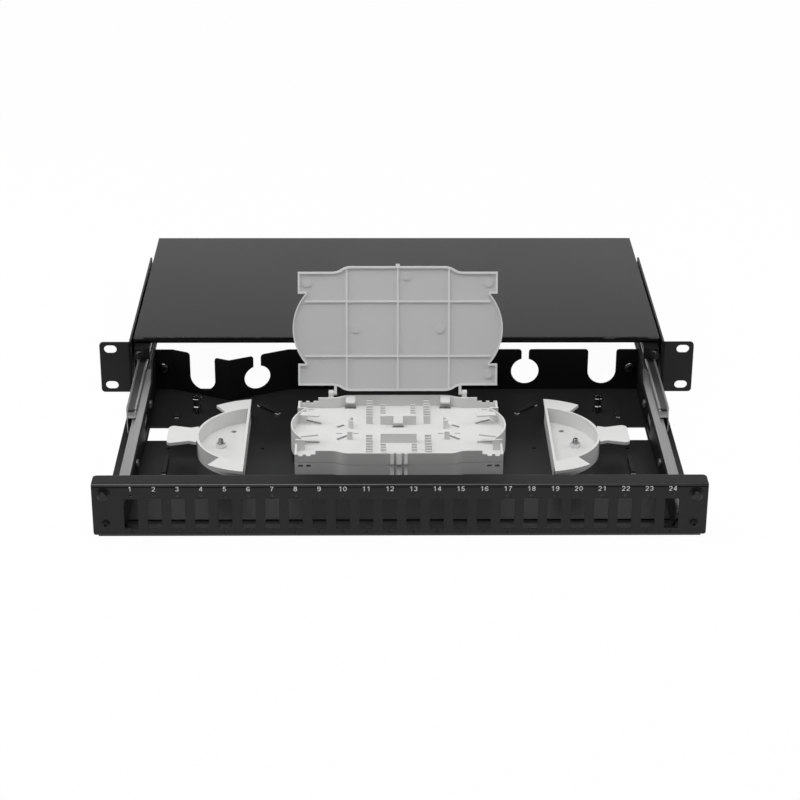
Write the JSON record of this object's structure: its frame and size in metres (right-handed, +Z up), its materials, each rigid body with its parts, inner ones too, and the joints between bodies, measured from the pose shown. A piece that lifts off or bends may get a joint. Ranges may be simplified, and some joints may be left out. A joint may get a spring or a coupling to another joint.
{
  "type": "sliding fibre patch panel",
  "caption": "Rack-mounted one-unit fibre patch panel: drawer on ball slides pulled out of its housing, port cut-outs in front, spools and stacked splice trays inside, cover open.",
  "frame": {"origin": "middle of the four rack slots, in the rack ears' front plane", "axes": "+X to the right as seen from the front, +Y towards the back of the rack, +Z up"},
  "size_m": [0.4826, 0.4932, 0.1269],
  "materials": {
    "black_paint": "fine-textured powder coat",
    "zinc_steel": "zinc plated, satin",
    "bright_steel": "polished bearing steel",
    "white_plastic": "moulded, fine matt",
    "black_plastic": "moulded, satin"
  },
  "bodies": {
    "housing": {"housing_cover": "black_paint", "rack_bracket_left": "black_paint", "rack_bracket_right": "black_paint", "latch_plate_left": "black_paint", "latch_plate_right": "black_paint", "bracket_screws": "black_paint", "slide_outer_left": "zinc_steel", "slide_outer_right": "zinc_steel"},
    "drawer": {"drawer_floor": "black_paint", "drawer_side_left": "black_paint", "drawer_side_right": "black_paint", "drawer_rear_wall": "black_paint", "front_panel": "black_paint", "slide_inner_left": "zinc_steel", "slide_inner_right": "zinc_steel", "rail_screws": "zinc_steel", "rear_wall_screws": "black_paint", "front_screws": "black_paint", "plunger_grommet_left": "black_plastic", "plunger_grommet_right": "black_plastic", "fibre_spool_left": "white_plastic", "fibre_spool_right": "white_plastic", "spool_studs": "zinc_steel", "spool_nuts": "zinc_steel", "clamp_post_left": "black_paint", "clamp_post_right": "black_paint", "clamp_screws": "black_paint", "splice_tray_lower": "white_plastic", "splice_tray_upper": "white_plastic"},
    "middle_left": {"slide_middle_left": "zinc_steel"},
    "middle_right": {"slide_middle_right": "zinc_steel"},
    "inner_cage_left": {"inner_cage_left": "zinc_steel", "inner_balls_left": "bright_steel"},
    "inner_cage_right": {"inner_cage_right": "zinc_steel", "inner_balls_right": "bright_steel"},
    "outer_cage_left": {"outer_cage_left": "zinc_steel", "outer_balls_left": "bright_steel"},
    "outer_cage_right": {"outer_cage_right": "zinc_steel", "outer_balls_right": "bright_steel"},
    "plunger_left": {"plunger_left": "black_plastic"},
    "plunger_right": {"plunger_right": "black_plastic"},
    "splice_cover": {"splice_cover": "white_plastic"}
  },
  "joints": [
    {"name": "drawer_slide", "type": "slide", "parent": "housing", "child": "drawer", "axis": [0, 1, 0], "range_m": [0, 0.07]},
    {"name": "middle_left_slide", "type": "slide", "parent": "housing", "child": "middle_left", "axis": [0, 1, 0], "range_m": [0, 0.035]},
    {"name": "inner_cage_left_slide", "type": "slide", "parent": "housing", "child": "inner_cage_left", "axis": [0, 1, 0], "range_m": [0, 0.0525]},
    {"name": "outer_cage_left_slide", "type": "slide", "parent": "housing", "child": "outer_cage_left", "axis": [0, 1, 0], "range_m": [0, 0.0175]},
    {"name": "plunger_left_pull", "type": "slide", "parent": "drawer", "child": "plunger_left", "axis": [0, -1, 0], "range_m": [0, 0.004]},
    {"name": "middle_right_slide", "type": "slide", "parent": "housing", "child": "middle_right", "axis": [0, 1, 0], "range_m": [0, 0.035]},
    {"name": "inner_cage_right_slide", "type": "slide", "parent": "housing", "child": "inner_cage_right", "axis": [0, 1, 0], "range_m": [0, 0.0525]},
    {"name": "outer_cage_right_slide", "type": "slide", "parent": "housing", "child": "outer_cage_right", "axis": [0, 1, 0], "range_m": [0, 0.0175]},
    {"name": "plunger_right_pull", "type": "slide", "parent": "drawer", "child": "plunger_right", "axis": [0, -1, 0], "range_m": [0, 0.004]},
    {"name": "splice_cover_hinge", "type": "hinge", "parent": "drawer", "child": "splice_cover", "pos_m": [0, -0.0661, 0.0071], "axis": [1, 0, 0], "range_deg": [0, 107]}
  ],
  "couplings": [
    {"joint": "middle_left_slide", "follows": "drawer_slide", "ratio": 0.5},
    {"joint": "inner_cage_left_slide", "follows": "drawer_slide", "ratio": 0.75},
    {"joint": "outer_cage_left_slide", "follows": "drawer_slide", "ratio": 0.25},
    {"joint": "middle_right_slide", "follows": "drawer_slide", "ratio": 0.5},
    {"joint": "inner_cage_right_slide", "follows": "drawer_slide", "ratio": 0.75},
    {"joint": "outer_cage_right_slide", "follows": "drawer_slide", "ratio": 0.25}
  ]
}
